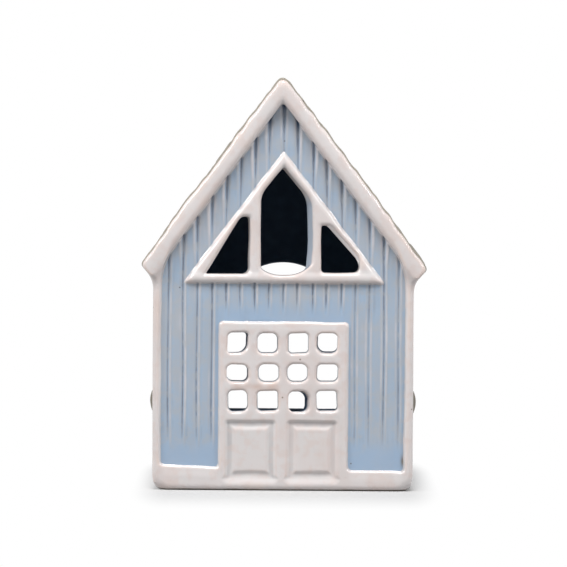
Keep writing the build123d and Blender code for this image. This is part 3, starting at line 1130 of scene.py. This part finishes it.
def turned(node, name, body, slot, material, profile, segments, wobble=None):
    """Turns a profile of radius and height about the middle of a node. It starts and ends on the axis,
    or else closes on itself round a bore."""
    low, high = span(node)
    centre = (low + high) / 2
    angles = 2 * np.pi * np.arange(segments) / segments
    points = []
    rings = []
    for radius, height in profile:
        count = segments if radius > 0 else 1
        rings.append(np.arange(len(points), len(points) + count))
        reach = radius + (wobble(angles[:count], radius, height) if wobble else 0 * angles[:count])
        if radius == 0:
            reach = 0 * angles[:1]
        points.extend(zip(centre[0] + reach * np.cos(angles[:count]),
                          centre[1] + reach * np.sin(angles[:count]), [height] * count))
    pairs = list(zip(rings, rings[1:]))
    if profile[0][0] > 0:
        pairs.append((rings[-1], rings[0]))
    faces = []
    for lower, upper in pairs:
        for i in range(segments):
            j = (i + 1) % segments
            if len(lower) == 1:
                faces.append((lower[0], upper[j], upper[i]))
            elif len(upper) == 1:
                faces.append((lower[i], lower[j], upper[0]))
            else:
                faces.append((lower[i], lower[j], upper[j], upper[i]))
    mesh = bpy.data.meshes.new(name)
    mesh.from_pydata([[MILLIMETRE * value for value in point] for point in points], [], faces)
    mesh.polygons.foreach_set("use_smooth", np.ones(len(mesh.polygons), bool))
    dress(placed(name, mesh), node, body, slot, material)


# Cup: a drawn base with a raised middle, a crimped wall and a rolled rim
cup_radius = 18.95
cup_gauge = 0.3
cup_corner = 1.4            # radius of the bend between base and wall
cup_foot = cup_low[2]
cup_top = cup_high[2]
base_gauge = 0.19
base_lift = 0.01            # the base clears the floor by this
base_flat = 17.4            # and is flat out to this radius, but for its raised middle
base_steps = [(0, 0.12), (11.6, 0.12), (12.2, 0.1), (12.8, 0.03), (13.2, base_lift)]
rim_roll = 0.3
flutes = 48
flute_depth = 0.09


def crimps(angles, radius, height):
    """Fine upright crimps in the cup's wall, which fade towards the base and the rim."""
    if radius < cup_radius - 2:
        return 0 * angles
    rise = smoothstep(cup_foot + 2, cup_foot + 6, height) * smoothstep(cup_top - 0.6, cup_top - 1.6, height)
    return -flute_depth * rise * (1 - np.cos(flutes * angles)) / 2


wall_heights = np.linspace(cup_foot + 1.5, cup_top - 1.0, 24)
bend = (cup_radius - cup_corner, cup_foot + cup_corner + base_lift)
cup_profile = [(radius, cup_foot + rise) for radius, rise in base_steps]
cup_profile += [(base_flat, cup_foot + base_lift)]
cup_profile += arc(*bend, cup_corner, -80, 0)
cup_profile += [(cup_radius, height) for height in wall_heights]
cup_profile += arc(cup_radius - 0.02, cup_top - 0.02 - rim_roll, rim_roll, -70, 180, 12)
cup_profile += [(cup_radius - cup_gauge, height) for height in wall_heights[::-1]]
cup_profile += arc(*bend, cup_corner - cup_gauge, 0, -80)
cup_profile += [(radius, cup_foot + rise + base_gauge) for radius, rise in base_steps[::-1]]
turned("tealight_cup", "tealight_cup_drawn", "tealight", "cup_metal", aluminium, cup_profile,
       6 * flutes, crimps)

# Wax: hollows below for the disc and its collar, a raised edge and a little hill at the wick
wax_radius = wax_high[0] - 0.05
wax_foot = wax_low[2]
wax_top = wax_high[2]
disc_radius = disc_high[0]
disc_foot = disc_low[2]
collar_radius = 1.55
collar_top = disc_high[2]
wick_bore = 0.83
collar_bore = collar_radius + 0.1
collar_roof = collar_top + 0.05
hollow_radius = disc_radius + 0.05
hollow_top = wax_foot + 0.45
# Radius of the upper side's rings and their depth under the edge
wax_dish = [(17.2, 0.22), (16.2, 0.38), (13, 0.5), (8, 0.56), (4, 0.6), (2.4, 0.5)]
wax_dish += [(1.5, 0.22), (1.05, 0.04)]
wax_profile = [(collar_bore, hollow_top), (hollow_radius, hollow_top), (hollow_radius, wax_foot + 0.05)]
wax_profile += [(disc_radius + 0.3, wax_foot + 0.02)]
wax_profile += arc(wax_radius - 0.5, wax_foot + 0.52, 0.5, -90, 0)
wax_profile += [(wax_radius - 0.03, wax_foot + 6), (wax_radius, wax_top - 0.5)]
wax_profile += arc(wax_radius - 0.3, wax_top - 0.35, 0.3, 0, 110)
wax_profile += [(radius, wax_top - depth) for radius, depth in wax_dish]
wax_profile += [(wick_bore, wax_top - 0.06), (wick_bore, collar_roof), (collar_bore, collar_roof)]


def cooled(angles, radius, height):
    """The slight unevenness of poured wax."""
    if radius < disc_radius or height < wax_top - 1:
        return 0 * angles
    return 0.04 * np.sin(3 * angles + 1) + 0.03 * np.sin(7 * angles) - 0.07


turned("candle_wax", "candle_wax_poured", "candle", "wax", wax, wax_profile, 144, cooled)

# Wick: three braided strands with a worn tip
wick_radius = 0.7
braid_lay = 2.6             # height of one turn of a strand
wick_foot = wick_low[2]
wick_top = wick_high[2]
wick_tip = [(0.62, 0.4), (0.48, 0.2), (0.25, 0.08), (0, 0.05)]      # radius, and depth under the top


def braid(angles, radius, height):
    turn = 2 * np.pi * height / braid_lay
    return 0.05 * np.cos(3 * angles + turn) + 0.045 * np.cos(3 * angles - turn)


wick_profile = [(0, wick_foot + 0.02)]
wick_profile += [(wick_radius, height) for height in np.arange(wick_foot + 0.05, wick_top - 0.5, 0.2)]
wick_profile += [(radius, wick_top - depth) for radius, depth in wick_tip]
turned("candle_wick", "candle_wick_braid", "candle", "wick", wick_cotton, wick_profile, 36, braid)

# Sustainer: a stamped disc with a ring pressed into it and a crimped collar
disc_top = disc_foot + 0.4
pressed_ring = [(6.2, 0.02), (5.8, 0.12), (5.4, 0.12), (5.0, 0.02)]     # radius and depth
sustainer_profile = [(0, disc_foot + 0.01), (disc_radius - 0.3, disc_foot + 0.01)]
sustainer_profile += arc(disc_radius - 0.2, disc_foot + 0.2, 0.18, -80, 80)
sustainer_profile += [(radius, disc_top - depth) for radius, depth in pressed_ring]
sustainer_profile += [(2.4, disc_top), (1.85, disc_top + 0.15), (collar_radius, disc_top + 0.6)]
collar_heights = np.linspace(disc_top + 0.9, collar_top - 0.3, 12)
sustainer_profile += [(collar_radius, height) for height in collar_heights]
sustainer_profile += arc(collar_radius - 0.2, collar_top - 0.22, 0.2, 0, 160)
sustainer_profile += [(wick_bore, collar_top - 0.4), (wick_bore, disc_top + 0.02), (0, disc_top + 0.02)]


def pinched(angles, radius, height):
    """Four pinches where the collar grips the wick."""
    if radius < collar_radius - 0.1 or radius > collar_radius + 0.1:
        return 0 * angles
    middle = (disc_top + collar_top) / 2
    return -0.14 * bell((height - middle) / 0.7) * (1 + np.cos(4 * angles)) / 2


turned("wick_sustainer", "wick_sustainer_stamped", "candle", "tin", tin, sustainer_profile, 96, pinched)


# Stage: floor, light and camera

def seen_directly(tree):
    """1 where a surface is seen by the camera, in a reflection or through glass, and 0 for its light."""
    path = tree.nodes.new("ShaderNodeLightPath")
    share = path.outputs["Is Camera Ray"]
    for ray in ("Is Glossy Ray", "Is Transmission Ray"):
        either = tree.nodes.new("ShaderNodeMath")
        either.operation = "MAXIMUM"
        tree.links.new(share, either.inputs[0])
        tree.links.new(path.outputs[ray], either.inputs[1])
        share = either.outputs[0]
    return share


# The shadow on the floor fades out over these lengths
shadow_side = 16.0
shadow_lap = 6.0            # beside the house it starts to fade this far in
shadow_front = 62.0
shadow_shift = 1.5          # its middle lies this far to the right
floor_grey = (0.55, 0.55, 0.55, 1)
bounce_grey = (0.36, 0.36, 0.36, 1)     # the floor's colour for the light that it throws back
room_light = 0.25
floor_mesh = bpy.data.meshes.new("floor")
reach = 6.0
corners = [(-reach, -reach, 0), (reach, -reach, 0), (reach, reach, 0), (-reach, reach, 0)]
floor_mesh.from_pydata(corners, [], [(0, 1, 2, 3)])
floor = placed("floor", floor_mesh)
n = Nodes("floor")
axes = n.add("SeparateXYZ", Vector=n.place)
squares = []
for axis, middle, half, fade in (
    ("X", shadow_shift, half_width - shadow_lap, shadow_side),
    ("Y", -half_depth / 4, half_depth * 3 / 4, shadow_front),
):
    off = n.math("ABSOLUTE", n.math("SUBTRACT", axes.outputs[axis], middle * MILLIMETRE))
    past = n.math("MAXIMUM", n.math("SUBTRACT", off, half * MILLIMETRE), 0)
    squares.append(n.math("POWER", n.math("DIVIDE", past, fade * MILLIMETRE), 2))
far = n.between(n.math("SQRT", n.math("ADD", *squares)), 0.0, 1.0)
seen = seen_directly(n.tree)
paper = n.add("BsdfDiffuse", Color=n.mix(seen, bounce_grey, floor_grey))
glow = n.add("Emission", Color=(1, 1, 1, 1), Strength=1.0)
mixed = n.add("MixShader", Fac=n.math("MULTIPLY", far, seen))
n.set(mixed.inputs[1], paper.outputs[0])
n.set(mixed.inputs[2], glow.outputs[0])
n.add("OutputMaterial", Surface=mixed.outputs[0])
floor_mesh.materials.append(n.material)


def white_light(tree, strength):
    """White light from all round."""
    node = tree.nodes.new("ShaderNodeBackground")
    node.inputs["Color"].default_value = (1, 1, 1, 1)
    node.inputs["Strength"].default_value = strength
    return node.outputs[0]


world = bpy.data.worlds.new("studio")
bpy.context.scene.world = world
world.use_nodes = True
tree = world.node_tree
tree.nodes.clear()
mixed = tree.nodes.new("ShaderNodeMixShader")
tree.links.new(seen_directly(tree), mixed.inputs[0])
tree.links.new(white_light(tree, room_light), mixed.inputs[1])
tree.links.new(white_light(tree, 1.0), mixed.inputs[2])
output = tree.nodes.new("ShaderNodeOutputWorld")
tree.links.new(mixed.outputs[0], output.inputs["Surface"])


def softbox(name, place, aim, size, power):
    """A square lamp that looks at a point."""
    lamp = bpy.data.lights.new(name, "AREA")
    lamp.size = size
    lamp.energy = power
    holder = placed(name, lamp)
    holder.location = place
    holder.rotation_euler = (Vector(aim) - Vector(place)).to_track_quat("-Z", "Y").to_euler()


middle = (0, 0, 0.08)
softbox("top_softbox", (0.0, -0.55, 1.15), middle, 0.45, 11)
softbox("left_key", (-1.0, -0.45, 0.75), middle, 0.38, 8.0)
softbox("right_fill", (1.0, -0.45, 0.65), middle, 0.36, 5.2)

camera_distance = 1.2
camera_rise = math.radians(3)
camera_roll = math.radians(0.42)
view_width = 0.2187         # across the picture, at the front of the house
sensor = 36.0
aim = Vector((0, -half_depth * MILLIMETRE, 0.0804))
lens = bpy.data.cameras.new("camera")
lens.sensor_width = sensor
lens.lens = sensor * camera_distance / view_width
camera = placed("camera", lens)
away = Vector((0, -math.cos(camera_rise), math.sin(camera_rise)))
turn = (-away).to_track_quat("-Z", "Y").to_matrix().to_4x4() @ Matrix.Rotation(camera_roll, 4, "Z")
camera.matrix_world = Matrix.Translation(aim + camera_distance * away) @ turn
bpy.context.scene.camera = camera
bpy.context.scene.view_settings.view_transform = "Standard"
